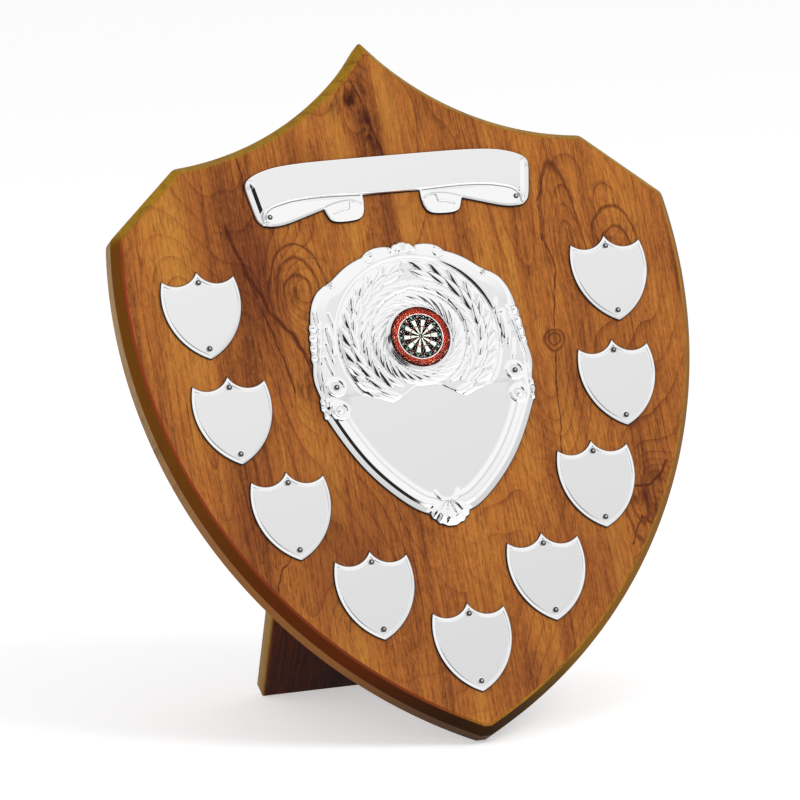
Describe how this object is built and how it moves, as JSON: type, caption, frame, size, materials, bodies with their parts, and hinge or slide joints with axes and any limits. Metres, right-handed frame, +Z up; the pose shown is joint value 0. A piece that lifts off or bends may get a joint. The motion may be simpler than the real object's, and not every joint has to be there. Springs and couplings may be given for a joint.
{
  "type": "perpetual award shield",
  "caption": "Heater-shaped wooden board on a folding strut, with a chromed title scroll, a centre shield round a domed insert, and small record shields pinned to its face.",
  "frame": {"origin": "on the floor, under the middle of the object as it stands on its bottom tip and its strut", "axes": "+Z up, the face looks towards -Y and leans back, +X to the right seen from the front"},
  "size_m": [0.239, 0.144, 0.2684],
  "materials": {
    "board_wood": "stained and varnished, semi-gloss",
    "strut_wood": "stained and varnished, semi-gloss",
    "plate_chrome": "polished plating",
    "insert_disc": "printed metal foil",
    "clear_resin": "clear domed resin",
    "hinge_brass": "lacquered"
  },
  "bodies": {
    "board": {"backboard": "board_wood", "title_scroll": "plate_chrome", "centre_shield": "plate_chrome", "side_shield_1": "plate_chrome", "side_shield_2": "plate_chrome", "side_shield_3": "plate_chrome", "side_shield_4": "plate_chrome", "side_shield_5": "plate_chrome", "side_shield_6": "plate_chrome", "side_shield_7": "plate_chrome", "side_shield_8": "plate_chrome", "side_shield_9": "plate_chrome", "title_scroll_pin_left": "plate_chrome", "title_scroll_pin_right": "plate_chrome", "centre_shield_pin_left": "plate_chrome", "centre_shield_pin_right": "plate_chrome", "side_shield_1_pin_top": "plate_chrome", "side_shield_1_pin_bottom": "plate_chrome", "side_shield_2_pin_top": "plate_chrome", "side_shield_2_pin_bottom": "plate_chrome", "side_shield_3_pin_top": "plate_chrome", "side_shield_3_pin_bottom": "plate_chrome", "side_shield_4_pin_top": "plate_chrome", "side_shield_4_pin_bottom": "plate_chrome", "side_shield_5_pin_top": "plate_chrome", "side_shield_5_pin_bottom": "plate_chrome", "side_shield_6_pin_top": "plate_chrome", "side_shield_6_pin_bottom": "plate_chrome", "side_shield_7_pin_top": "plate_chrome", "side_shield_7_pin_bottom": "plate_chrome", "side_shield_8_pin_top": "plate_chrome", "side_shield_8_pin_bottom": "plate_chrome", "side_shield_9_pin_top": "plate_chrome", "side_shield_9_pin_bottom": "plate_chrome", "centre_disc": "insert_disc", "resin_dome": "clear_resin", "board_hinge_leaf": "hinge_brass", "hinge_pin": "hinge_brass", "board_leaf_screw_1": "hinge_brass", "board_leaf_screw_2": "hinge_brass", "board_leaf_screw_3": "hinge_brass", "sawtooth_hanger": "hinge_brass", "hanger_pin_1": "hinge_brass", "hanger_pin_2": "hinge_brass"},
    "strut": {"strut": "strut_wood", "strut_hinge_leaf": "hinge_brass", "strut_leaf_screw_1": "hinge_brass", "strut_leaf_screw_2": "hinge_brass", "strut_leaf_screw_3": "hinge_brass"}
  },
  "joints": [
    {"name": "strut_fold", "type": "hinge", "parent": "board", "child": "strut", "pos_m": [0, -0.00281, 0.12339], "axis": [-1, 0, 0], "range_deg": [0, 51.2]}
  ]
}
